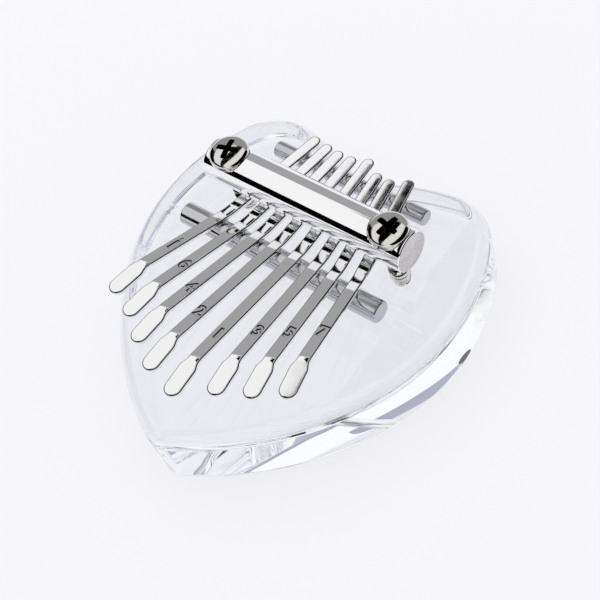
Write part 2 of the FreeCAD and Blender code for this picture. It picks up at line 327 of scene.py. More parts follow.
def draw_out(across: float, along: float, up: float) -> None:
    """Draw the picked vertex out by one step, in millimetres."""
    bpy.ops.mesh.extrude_vertices_move(TRANSFORM_OT_translate={"value": (across * MM, along * MM, up * MM)})


def stretch(across: float, along: float = 1.0) -> None:
    """Stretch what is picked along X and Y, about the Z axis."""
    bpy.ops.transform.resize(value=(across, along, 1), center_override=(0, 0, 0))


def slice_at(place: float) -> None:
    """Slice the piece in hand, in edit mode, across X at a place in metres."""
    pick_all()
    bpy.ops.mesh.bisect(plane_co=(place, 0, 0), plane_no=(1, 0, 0), threshold=NEAR)


def rod_line(node: str) -> tuple[Vector, float]:
    """The middle and the radius, in metres, of a rod in the frame."""
    low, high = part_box(node)
    return (low + high) / 2, (high.z - low.z) / 2


def stand_for(piece: bpy.types.Object, node: str) -> None:
    """Let a piece stand for a node of the instrument's own body."""
    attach(piece, ROOT_BODY)
    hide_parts(node)


def join(pieces: Sequence[bpy.types.Object]) -> bpy.types.Object:
    """Join pieces into the first of them.

    Args:
        pieces: what is joined.

    Returns:
        The first piece, which holds them all.
    """
    deselect_everything()
    for piece in pieces:
        piece.select_set(True)
    bpy.context.view_layer.objects.active = pieces[0]
    bpy.ops.object.join()
    return pieces[0]


# ---- materials and painted shade ------------------------------------------------------------------------


def linear(hex_colour: str) -> tuple[float, float, float, float]:
    """An sRGB hex colour as linear red, green, blue and full alpha.

    Args:
        hex_colour: six hex digits after a hash.

    Returns:
        Four numbers from 0 to 1.
    """
    channels = [int(hex_colour[place:place + 2], 16) / 255 for place in (1, 3, 5)]
    toe, slope, offset, power = 0.04045, 12.92, 0.055, 2.4
    levels = [value / slope if value <= toe else ((value + offset) / (1 + offset)) ** power
              for value in channels]
    return levels[0], levels[1], levels[2], 1.0


def add_node(tree: bpy.types.NodeTree, kind: str, settings: dict[str, Any] | None = None,
             links: dict[str, Any] | None = None) -> bpy.types.Node:
    """Add a node to a tree.

    Args:
        tree: the node tree.
        kind: the node's type.
        settings: values by socket or property name.
        links: sources by socket name.

    Returns:
        The new node.
    """
    node = tree.nodes.new(kind)
    for name, value in (settings or {}).items():
        if name in node.inputs:
            node.inputs[name].default_value = value
        else:
            setattr(node, name, value)
    for name, source in (links or {}).items():
        tree.links.new(source, node.inputs[name])
    return node


def empty_material(name: str) -> tuple[bpy.types.Material, bpy.types.NodeTree]:
    """A material with no nodes yet, and its tree.

    Args:
        name: the finish.

    Returns:
        The material and its node tree.
    """
    material = bpy.data.materials.new(name)
    material.use_nodes = True
    material.node_tree.nodes.clear()
    return material, material.node_tree


@dataclass(frozen=True)
class MetalFinish:
    """A bare or plated metal, with the marks that its making left.

    Attributes:
        name: the finish.
        colour: the metal's own colour.
        roughness: the middle of its roughness.
        spread: how far the roughness wanders on either side.
        mark_size: the size of one mark along X, Y and Z, in millimetres.
        mark_depth: the depth of the marks, in millimetres.
        cloud_size: the size of handling marks, in millimetres.
    """

    name: str
    colour: str
    roughness: float
    spread: float
    mark_size: tuple[float, float, float]
    mark_depth: float
    cloud_size: float = 3.0

    def build(self) -> bpy.types.Material:
        """Make the material.

        Returns:
            The new material.
        """
        material, tree = empty_material(self.name)
        place = add_node(tree, "ShaderNodeTexCoord").outputs["Object"]
        marks_scale = tuple(1.0 / (size * MM) for size in self.mark_size)
        stretched = add_node(tree, "ShaderNodeMapping", {"Scale": marks_scale}, {"Vector": place})
        marks = add_node(tree, "ShaderNodeTexNoise", {"Scale": 1.0, "Detail": 3.0, "Roughness": 0.6},
                         {"Vector": stretched.outputs["Vector"]})
        clouds = add_node(tree, "ShaderNodeTexNoise", {"Scale": 1.0 / (self.cloud_size * MM), "Detail": 4.0},
                          {"Vector": place})
        mixed = add_node(tree, "ShaderNodeMath", {"operation": "MULTIPLY"},
                         {0: marks.outputs["Fac"], 1: clouds.outputs["Fac"]})
        rough = add_node(tree, "ShaderNodeMapRange",
                         {"From Min": 0.1, "From Max": 0.4, "To Min": max(self.roughness - self.spread, 0.0),
                          "To Max": self.roughness + self.spread}, {"Value": mixed.outputs["Value"]})
        relief = add_node(tree, "ShaderNodeBump", {"Strength": 1.0, "Distance": self.mark_depth * MM},
                          {"Height": marks.outputs["Fac"]})
        shader = add_node(tree, "ShaderNodeBsdfPrincipled",
                          {"Base Color": linear(self.colour), "Metallic": 1.0},
                          {"Roughness": rough.outputs["Result"], "Normal": relief.outputs["Normal"]})
        add_node(tree, "ShaderNodeOutputMaterial", None, {"Surface": shader.outputs["BSDF"]})
        return material


@dataclass(frozen=True)
class ClearPlastic:
    """Cast acrylic sheet, cut and flame polished: clear, with the faintest waves in its faces.

    Attributes:
        name: the finish.
        colour: what is left of white light after one pass.
        shadow_colour: what is left of a lamp's light on the table below.
        index: the refractive index of acrylic.
        roughness: nearly none.
        wave_size: the length of a wave in the polished face, in millimetres.
        wave_depth: its height, in millimetres.
    """

    name: str = "polished clear acrylic"
    colour: str = "#FDFEFF"
    shadow_colour: str = "#F2F4F8"
    index: float = 1.49
    roughness: float = 0.0
    wave_size: float = 9.0
    wave_depth: float = 0.004

    def build(self) -> bpy.types.Material:
        """Make the material.

        Returns:
            The new material.
        """
        material, tree = empty_material(self.name)
        place = add_node(tree, "ShaderNodeTexCoord").outputs["Object"]
        waves = add_node(tree, "ShaderNodeTexNoise", {"Scale": 1.0 / (self.wave_size * MM), "Detail": 1.0},
                         {"Vector": place})
        relief = add_node(tree, "ShaderNodeBump", {"Strength": 1.0, "Distance": self.wave_depth * MM},
                          {"Height": waves.outputs["Fac"]})
        shader = add_node(tree, "ShaderNodeBsdfPrincipled",
                          {"Base Color": linear(self.colour), "Roughness": self.roughness, "IOR": self.index,
                           "Transmission Weight": 1.0}, {"Normal": relief.outputs["Normal"]})
        rays = add_node(tree, "ShaderNodeLightPath")
        clear = add_node(tree, "ShaderNodeBsdfTransparent", {"Color": linear(self.shadow_colour)})
        lets_lamps_through = add_node(tree, "ShaderNodeMixShader", None, {
            0: rays.outputs["Is Shadow Ray"], 1: shader.outputs["BSDF"], 2: clear.outputs["BSDF"]})
        add_node(tree, "ShaderNodeOutputMaterial", None, {"Surface": lets_lamps_through.outputs["Shader"]})
        return material


# Chrome plate on a turned bar: the brightest metal here, with only the finest polishing lines left.
BAR_CHROME = MetalFinish("polished chrome plate", "#F4F4F5", 0.05, 0.03, (2.5, 0.12, 0.12), 0.0002)
# The bar's end, taken to be less polished than its side: a duller grey that shows the lathe's rings.
BAR_END = MetalFinish("turned steel face", "#D2CECF", 0.16, 0.05, (0.5, 0.5, 0.5), 0.0004)
# Bright drawn steel rod: a softer grey shine, with drawing lines that run along it.
BRIDGE_STEEL = MetalFinish("bright drawn steel", "#C4C4C8", 0.13, 0.06, (6.0, 0.16, 0.16), 0.0008)
# Nickel plate on pressed steel: warm and bright, with the soft dents of a forged head.
SCREW_NICKEL = MetalFinish("nickel-plated steel", "#D9D7D3", 0.09, 0.05, (0.8, 0.8, 0.8), 0.004)
# Painted shade: it draws black lines in the recess and in the thread's roots, for the shade and dark
# reflections there. Real plate may be bright there and only mirror something dark; no oil is known there.
SCREW_PAINTED_SHADE = MetalFinish("nickel with painted shade", "#0C0C0D", 0.35, 0.1, (0.4, 0.4, 0.4), 0.004)
# Spring steel strip, ground and buffed: clear reflections under a fine grain.
KEY_STEEL = MetalFinish("buffed spring steel", "#F0F0F1", 0.06, 0.04, (0.25, 0.25, 0.25), 0.0004)
# Painted dark reflection: it draws a dark line round each key and inside its figure. A real edge may be
# as bright as the face and only mirror something dark; no tumbling is known there.
KEY_PAINTED_DARK_EDGE = MetalFinish("spring steel edge with painted dark reflection", "#343436", 0.2, 0.05, (0.25, 0.25, 0.25), 0.0004)


def dress(piece: bpy.types.Object, material: bpy.types.Material) -> None:
    """Give a piece its finish.

    Args:
        piece: what is dressed.
        material: its only material.
    """
    piece.data.materials.clear()
    piece.data.materials.append(material)


def add_finish_or_painted_shade(piece: bpy.types.Object, material: bpy.types.Material,
                  wanted: Callable[[Any], bool]) -> None:
    """Give some faces of a dressed piece a second finish, or painted shade.

    Args:
        piece: the dressed piece.
        material: the second finish, or the painted shade.
        wanted: says whether a face takes it.
    """
    piece.data.materials.append(material)
    with editing(piece, Pick.FACES):
        pick(piece, Pick.FACES, wanted)
        piece.active_material_index = 1
        bpy.ops.object.material_slot_assign()


# ---- heart body -----------------------------------------------------------------------------------------


@dataclass(frozen=True)
class Sweep:
    """One arc of an outline.

    Attributes:
        centre: the arc's centre, in millimetres.
        degrees: how far it turns, anticlockwise.
        steps: how many sides it has.
    """

    centre: Vector
    degrees: float
    steps: int


@dataclass
class HeartBody:
    """The thick clear heart, with its bridge seats and screw holes."""

    lobe_centre_x: float = 20.0
    lobe_radius: float = 11.7
    cheek_radius: float = 41.6
    cheek_start: float = 30.0
    flank_radius: float = 64.4
    flank_start: float = -28.3
    tip_radius: float = 6.0
    brow_radius: float = 50.0
    brow_start: float = 98.0
    cleft_radius: float = 5.0
    top_edge_radius: float = 3.2
    bottom_edge_radius: float = 2.2
    cap_rim: float = 0.35
    seat_room: float = 0.03
    front_seat_reach: float = 31.0
    rear_seat_spare: float = 0.2
    pilot_radius: float = 1.4
    drill_point: float = 0.8
    overcut: float = 5.0
    outline_seam: float = 0.01
    top_edge_steps: int = 14
    bottom_edge_steps: int = 10
    front_seat_sides: int = 128
    rear_seat_sides: int = 96
    hole_sides: int = 64
    crease: float = 22.0

    @staticmethod
    def on_circle(centre: Vector, radius: float, degrees: float) -> Vector:
        """The point of a circle at an angle above +X."""
        angle = math.radians(degrees)
        return centre + Vector((math.cos(angle), math.sin(angle), 0)) * radius

    @staticmethod
    def seen_from(centre: Vector, point: Vector) -> float:
        """The angle above +X, in degrees, of a point from a centre."""
        return math.degrees(math.atan2(point.y - centre.y, point.x - centre.x))

    def sweeps(self, lobe_top: float) -> tuple[Vector, list[Sweep]]:
        """The right half of the outline.

        Args:
            lobe_top: the height of the lobes' tops along Y, in millimetres.

        Returns:
            The bottom of the cleft, and the arcs from there to the tip.
        """
        lobe = Vector((self.lobe_centre_x, lobe_top - self.lobe_radius, 0))
        brow = self.on_circle(lobe, self.lobe_radius - self.brow_radius, self.brow_start)
        cheek = self.on_circle(lobe, self.lobe_radius - self.cheek_radius, self.cheek_start)
        flank = self.on_circle(cheek, self.cheek_radius - self.flank_radius, self.flank_start)
        cleft_rise = math.sqrt((self.brow_radius + self.cleft_radius) ** 2 - brow.x ** 2)
        cleft = Vector((0, brow.y + cleft_rise, 0))
        tip_fall = math.sqrt((self.flank_radius - self.tip_radius) ** 2 - flank.x ** 2)
        tip = Vector((0, flank.y - tip_fall, 0))
        cleft_end = self.seen_from(brow, cleft)
        flank_end = self.seen_from(flank, tip)
        down = -90.0
        return cleft - Vector((0, self.cleft_radius, 0)), [
            Sweep(cleft, cleft_end - 180.0 - down, 12),
            Sweep(brow, self.brow_start - cleft_end, 24),
            Sweep(lobe, self.cheek_start - self.brow_start, 34),
            Sweep(cheek, self.flank_start - self.cheek_start, 56),
            Sweep(flank, flank_end - self.flank_start, 32),
            Sweep(tip, down - flank_end, 18),
        ]

    def outline(self, lobe_top: float) -> bpy.types.Object:
        """Draw the whole outline as one flat face at z = 0.

        Args:
            lobe_top: the height of the lobes' tops along Y, in millimetres.

        Returns:
            The flat piece.
        """
        start, arcs = self.sweeps(lobe_top)
        piece = single_vertex("heart_body_visual", start * MM)
        with editing(piece, Pick.VERTS):
            pick_all()
            for arc in arcs:
                sweep_round(arc.centre * MM, UP, arc.degrees, arc.steps)
            pick_all()
            bpy.ops.mesh.duplicate()
            stretch(-1)
            pick_all()
            bpy.ops.mesh.remove_doubles(threshold=self.outline_seam * MM)
            bpy.ops.mesh.edge_face_add()
        return piece

    def round_rim(self, piece: bpy.types.Object, height: float, radius: float, segments: int) -> None:
        """Round the outline's edge at one height, and set a narrow rim into the flat beside it.

        Args:
            piece: the slab.
            height: where the edge lies, in metres.
            radius: of the rounding, in millimetres.
            segments: how many steps it has.
        """
        with editing(piece, Pick.EDGES):
            pick(piece, Pick.EDGES, lambda edge: all(abs(v.co.z - height) < NEAR for v in edge.verts))
            bpy.ops.mesh.bevel(offset=radius * MM, segments=segments, affect="EDGES", clamp_overlap=False)
        with editing(piece, Pick.FACES):
            pick(piece, Pick.FACES, lambda face: all(abs(v.co.z - height) < NEAR for v in face.verts)
                 and len(face.verts) > 4)
            bpy.ops.mesh.inset(thickness=self.cap_rim * MM, depth=0.0)

    def hole_tool(self, name: str, low: Vector, high: Vector, top: float) -> bpy.types.Object:
        """The cutter of one pilot hole, with a drill's point at its end.

        The screw forms its thread in the plastic outside the pilot hole and reaches the hole's end, so no
        air lies between the two.

        Args:
            name: the tool's name.
            low: the screw's lower corner, in metres.
            high: its upper corner.
            top: the body's top, in metres.

        Returns:
            The cutter.
        """
        over = top / MM + self.overcut
        end = low.z / MM
        outline = ((0, end), (self.pilot_radius, end + self.drill_point),
                   (self.pilot_radius, over), (0, over))
        tool = turned(name, outline, self.hole_sides)
        tool.location = ((low.x + high.x) / 2, (low.y + high.y) / 2, 0)
        settle(tool)
        return tool

    def build(self) -> bpy.types.Object:
        """Make and dress the body.

        Returns:
            The body.
        """
        low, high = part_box("heart_body")
        piece = self.outline(high.y / MM)
        with editing(piece, Pick.FACES):
            pick_all()
            bpy.ops.mesh.extrude_region_move(TRANSFORM_OT_translate={"value": (0, 0, high.z - low.z)})
        outward(piece)
        self.round_rim(piece, high.z, self.top_edge_radius, self.top_edge_steps)
        self.round_rim(piece, low.z, self.bottom_edge_radius, self.bottom_edge_steps)
        outward(piece)
        front_middle, front_radius = rod_line("front_bridge")
        rear_middle, rear_radius = rod_line("rear_bridge")
        rear_low, rear_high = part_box("rear_bridge")
        front_middle.x = 0.0
        front_length = 2 * self.front_seat_reach * MM
        rear_length = rear_high.x - rear_low.x + 2 * self.rear_seat_spare * MM
        room = self.seat_room * MM
        tools = [cylinder("front_seat_tool", front_radius + room, front_length, front_middle, "X",
                          self.front_seat_sides),
                 cylinder("rear_seat_tool", rear_radius + room, rear_length, rear_middle, "X",
                          self.rear_seat_sides)]
        for side in ("left", "right"):
            screw_low, screw_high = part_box(f"screw_{side}")
            tools.append(self.hole_tool(f"hole_tool_{side}", screw_low, screw_high, high.z))
        cut(piece, tools)
        smooth(piece, self.crease, keep_flats=False)
        dress(piece, ClearPlastic().build())
        stand_for(piece, "heart_body")
        return piece


# ---- rods -----------------------------------------------------------------------------------------------


@dataclass
class TurnedRod:
    """A rod along X, with chamfered ends and the rings that facing it on a lathe left.

    Attributes:
        node: the frame's node that it stands for.
        chamfer: at both ends.
        sides: round the rod.
        rings: how many turned rings show on an end.
        ring_depth: how deep they are.
        ring_share: how wide one side of a ring's groove is, as a share of the ring.
        chamfer_steps: how many steps the chamfer has.
        crease: edges sharper than this angle stay sharp.
    """

    node: str
    chamfer: float
    sides: int
    rings: int
    ring_depth: float
    ring_share: float = field(default=0.45, kw_only=True)
    chamfer_steps: int = field(default=3, kw_only=True)
    crease: float = field(default=20.0, kw_only=True)

    def blank(self) -> bpy.types.Object:
        """The plain rod, chamfered, with turned ends.

        Returns:
            The rod, with no finish yet.
        """
        low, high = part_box(self.node)
        middle, radius = rod_line(self.node)
        piece = cylinder(f"{self.node}_visual", radius, high.x - low.x, middle, "X", self.sides)
        ends = (low.x, high.x)
        with editing(piece, Pick.EDGES):
            pick(piece, Pick.EDGES, lambda edge: any(all(abs(v.co.x - end) < NEAR for v in edge.verts)
                                                     for end in ends))
            bpy.ops.mesh.bevel(offset=self.chamfer * MM, segments=self.chamfer_steps, affect="EDGES")
        ring_width = (radius - self.chamfer * MM) / (self.rings + 1)
        with editing(piece, Pick.FACES):
            pick(piece, Pick.FACES, lambda face: abs(face.normal.x) > SQUARE_ON)
            bpy.ops.mesh.inset(thickness=ring_width / 2, depth=0.0)
            for ring in range(self.rings * 2 - 1):
                depth = self.ring_depth * MM * (-1 if ring % 2 == 0 else 1)
                bpy.ops.mesh.inset(thickness=ring_width * self.ring_share, depth=depth)
        return piece


@dataclass
class BridgeRod(TurnedRod):
    """One of the two rods that the keys lie on."""

    chamfer: float = 0.35
    sides: int = 96
    rings: int = 4
    ring_depth: float = 0.02

    def build(self, material: bpy.types.Material) -> bpy.types.Object:
        """Make and dress the rod.

        Args:
            material: its finish.

        Returns:
            The rod.
        """
        piece = self.blank()
        smooth(piece, self.crease)
        dress(piece, material)
        stand_for(piece, self.node)
        return piece


@dataclass
class PressureBar(TurnedRod):
    """The thick round bar, with a spot-face and a hole for each screw."""

    node: str = "pressure_bar"
    chamfer: float = 0.4
    sides: int = 192
    rings: int = 7
    ring_depth: float = 0.05
    spot_room: float = 0.1
    hole_radius: float = 2.35
    head_radius: float = 4.0
    head_height: float = 2.6
    cut_margin: float = 0.6
    end_slope: float = 0.8
    overcut: float = 5.0
    spot_sides: int = 96
    hole_sides: int = 64

    def build(self) -> bpy.types.Object:
        """Make and dress the bar.

        Returns:
            The bar.
        """
        piece = self.blank()
        low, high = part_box(self.node)
        spot_radius = (self.head_radius + self.spot_room) * MM
        tools = []
        for side in ("left", "right"):
            screw_low, screw_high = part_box(f"screw_{side}")
            axis = (screw_low + screw_high) / 2
            seat = screw_high.z - self.head_height * MM
            with editing(piece, Pick.FACES):
                for offset in (-1, 1):
                    slice_at(axis.x + offset * (spot_radius + self.cut_margin * MM))
            top = high.z + self.overcut * MM
            tools.append(cylinder(f"spot_tool_{side}", spot_radius, top - seat,
                                  Vector((axis.x, axis.y, (top + seat) / 2)), "Z", self.spot_sides))
            tools.append(cylinder(f"through_tool_{side}", self.hole_radius * MM, 2 * (top - low.z),
                                  Vector((axis.x, axis.y, low.z)), "Z", self.hole_sides))
        cut(piece, tools)
        smooth(piece, self.crease)
        dress(piece, BAR_CHROME.build())
        reach = (high.x - low.x - self.chamfer * MM) / 2
        add_finish_or_painted_shade(piece, BAR_END.build(), lambda face: abs(face.normal.x) > self.end_slope
                      and abs(face.calc_center_median().x - (low.x + high.x) / 2) > reach)
        stand_for(piece, self.node)
        return piece


# ---- screws ---------------------------------------------------------------------------------------------


@dataclass
class PanScrew:
    """A pan-head screw with a cross recess and the coarse thread that forms its own way in plastic."""

    head_radius: float = 4.0
    head_height: float = 2.6
    rim_height: float = 1.15
    rim_round: float = 0.25
    dome_steps: int = 18
    dome_fullness: float = 0.9
    thread_radius: float = 2.1
    thread_depth: float = 0.62
    pitch: float = 1.79
    crest: float = 0.1
    root: float = 0.55
    dark_depth: float = 0.4
    dark_flank: float = 0.42
    shank_length: float = 18.0
    taper_length: float = 3.2
    taper_share: float = 0.82
    taper_steps: int = 32
    recess_half_span: float = 2.5
    recess_half_slot: float = 0.62
    recess_depth: float = 2.0
    recess_slope: float = 0.6
    recess_taper: tuple[float, float] = (0.92, 0.86)
    recess_shade: float = 0.08
    recess_round: float = 0.31
    least_wall: float = 0.5
    overcut: float = 1.0
    head_overlap: float = 0.1
    spare_turns: int = 3
    rim_steps: int = 3
    head_sides: int = 96
    crease: float = 28.0
    turns: dict[str, float] = field(default_factory=lambda: {"left": 12.0, "right": -14.0})
    steps: int = 72

    def head(self) -> bpy.types.Object:
        """The head, standing on z = 0, with its recess not yet cut.

        Returns:
            The closed head.
        """
        rise = self.head_height - self.rim_height
        outline = [(0.0, 0.0), (self.head_radius - self.rim_round, 0.0)]
        for step in range(1, self.rim_steps + 1):
            angle = math.pi / 2 * step / self.rim_steps
            outline.append((self.head_radius - self.rim_round * (1 - math.sin(angle)),
                            self.rim_round * (1 - math.cos(angle))))
        outline.append((self.head_radius, self.rim_height))
        for step in range(1, self.dome_steps + 1):
            angle = math.pi / 2 * step / self.dome_steps
            outline.append((self.head_radius * math.cos(angle) ** self.dome_fullness,
                            self.rim_height + rise * math.sin(angle)))
        return turned("screw_head", outline, self.head_sides)

    def wing_tool(self, name: str, turn: float) -> bpy.types.Object:
        """The cutter of one pair of the cross's wings, which slope down to its deep middle.

        Args:
            name: the tool's name.
            turn: about the screw's axis, in degrees.

        Returns:
            The cutter.
        """
        deselect_everything()
        top = (self.head_height + self.overcut) * MM
        bottom = (self.head_height - self.recess_depth) * MM
        bpy.ops.mesh.primitive_cube_add(size=1.0, location=(0, 0, (top + bottom) / 2), scale=(
            2 * self.recess_half_span * MM, 2 * self.recess_half_slot * MM, top - bottom))
        tool = named(name)
        settle(tool)
        with editing(tool, Pick.VERTS):
            core = self.recess_half_slot * MM
            for place in (-core, core):
                slice_at(place)
            pick(tool, Pick.VERTS, lambda v: v.co.z < bottom + NEAR and abs(v.co.x) > 2 * core)
            bpy.ops.transform.translate(value=(0, 0, self.recess_slope * MM))
            pick(tool, Pick.VERTS, lambda v: v.co.z < top - NEAR)
            stretch(*self.recess_taper)
        with editing(tool, Pick.EDGES):
            pick(tool, Pick.EDGES, lambda edge: all(abs(v.co.x) > 2 * core for v in edge.verts)
                 and abs(edge.verts[0].co.z - edge.verts[1].co.z) > self.least_wall * MM)
            bpy.ops.mesh.bevel(offset=self.recess_round * MM, segments=self.rim_steps, affect="EDGES")
        outward(tool)
        tool.rotation_euler = (0, 0, math.radians(turn))
        settle(tool)
        return tool

    def thread(self, length: float) -> bpy.types.Object:
        """The threaded shank, hanging from z = 0.

        Args:
            length: in millimetres.

        Returns:
            The closed shank.
        """
        root = self.thread_radius - self.thread_depth
        flank = (self.pitch - self.crest - self.root) / 2
        turns = math.ceil(length / self.pitch) + self.spare_turns
        below = length + self.spare_turns / 2 * self.pitch
        piece = single_vertex("thread", Vector((root * MM, 0, -below * MM)))
        inner, outer = self.dark_flank, 1 - self.dark_flank
        strokes = ((0, self.root), (self.thread_depth, flank), (0, self.crest),
                   (-self.thread_depth * outer, flank * outer), (-self.thread_depth * inner, flank * inner))
        with editing(piece, Pick.VERTS):
            pick_all()
            for across, up in strokes:
                draw_out(across, 0, up)
        apply_modifier(piece, "SCREW", angle=2 * math.pi, screw_offset=self.pitch * MM, iterations=turns,
                       steps=self.steps, render_steps=self.steps, use_merge_vertices=True,
                       merge_threshold=SEAM / 2, axis="Z")
        with editing(piece, Pick.FACES):
            pick_all()
            bpy.ops.mesh.remove_doubles(threshold=SEAM)
            for height, outer, inner in ((self.head_overlap, True, False), (-length, False, True)):
                pick_all()
                bpy.ops.mesh.bisect(plane_co=(0, 0, height * MM), plane_no=(0, 0, 1), use_fill=True,
                                    clear_outer=outer, clear_inner=inner, threshold=NEAR)
            pick_all()
            bpy.ops.mesh.normals_make_consistent(inside=False)
        self.taper(piece, length)
        return piece

    def takes_painted_shade(self, spot: Vector) -> bool:
        """Say whether a spot of the surface lies in the thread's root or inside the recess, which take
        painted shade.

        Args:
            spot: from the middle of the head's seat, in millimetres.

        Returns:
            Whether it does.
        """
        out = math.hypot(spot.x, spot.y)
        if spot.z < 0:
            narrowing = max(0.0, -spot.z - self.shank_length + self.taper_length) / self.taper_length
            share = 1 - (1 - self.taper_share) * narrowing
            return out < (self.thread_radius - self.dark_depth) * share
        dome = 1 - min(out / self.head_radius, 1.0) ** (2 / self.dome_fullness)
        dome_top = self.rim_height + (self.head_height - self.rim_height) * math.sqrt(dome)
        return self.rim_height / 4 < spot.z < dome_top - self.recess_shade and out < self.recess_half_span

    def taper(self, shank: bpy.types.Object, length: float) -> None:
        """Narrow the shank towards its end.

        Args:
            shank: hanging from z = 0.
            length: in millimetres.
        """
        with editing(shank, Pick.VERTS):
            share = 1.0
            for step in range(self.taper_steps):
                level = -(length - self.taper_length * (1 - step / self.taper_steps)) * MM
                wanted = 1 - (1 - self.taper_share) * (step + 1) / self.taper_steps
                pick(shank, Pick.VERTS, lambda v: v.co.z < level)
                stretch(wanted / share, wanted / share)
                share = wanted

    def build(self) -> list[bpy.types.Object]:
        """Make one screw, copy it to both places and dress the two.

        Returns:
            The left screw and the right one.
        """
        low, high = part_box("screw_left")
        head = self.head()
        cut(head, [self.wing_tool("wings_across", 0.0), self.wing_tool("wings_along", 90.0)])
        shank = self.thread((high.z - low.z) / MM - self.head_height)
        pattern = join([head, shank])
        smooth(pattern, self.crease)
        material, shade_paint = SCREW_NICKEL.build(), SCREW_PAINTED_SHADE.build()
        made = []
        for side, turn in self.turns.items():
            node = f"screw_{side}"
            low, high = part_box(node)
            seat = Vector(((low.x + high.x) / 2, (low.y + high.y) / 2, high.z - self.head_height * MM))
            piece = duplicate(pattern, f"{node}_visual")
            piece.matrix_world = Matrix.Translation(seat) @ Matrix.Rotation(math.radians(turn), 4, "Z")
            settle(piece)
            dress(piece, material)
            # Painted shade: black on the thread's roots and on the recess walls.
            add_finish_or_painted_shade(piece, shade_paint, lambda face: self.takes_painted_shade((face.calc_center_median() - seat) / MM))
            stand_for(piece, node)
            made.append(piece)
        bpy.data.objects.remove(pattern)
        return made


# ---- keys -----------------------------------------------------------------------------------------------


@dataclass
class KeyPlace:
    """Where one key lies, in metres, as the frame gives it.

    Attributes:
        note: the key's name in the frame.
        label: the number stamped on it.
        crest: where its underside leaves the front bridge.
        fan: how far it turns outward, in degrees.
        reach: from the crest to the bend, along the shaft.
        tail: from the crest back to the round end.
    """

    note: str
    label: str
    crest: Vector
    fan: float
    reach: float
    tail: float


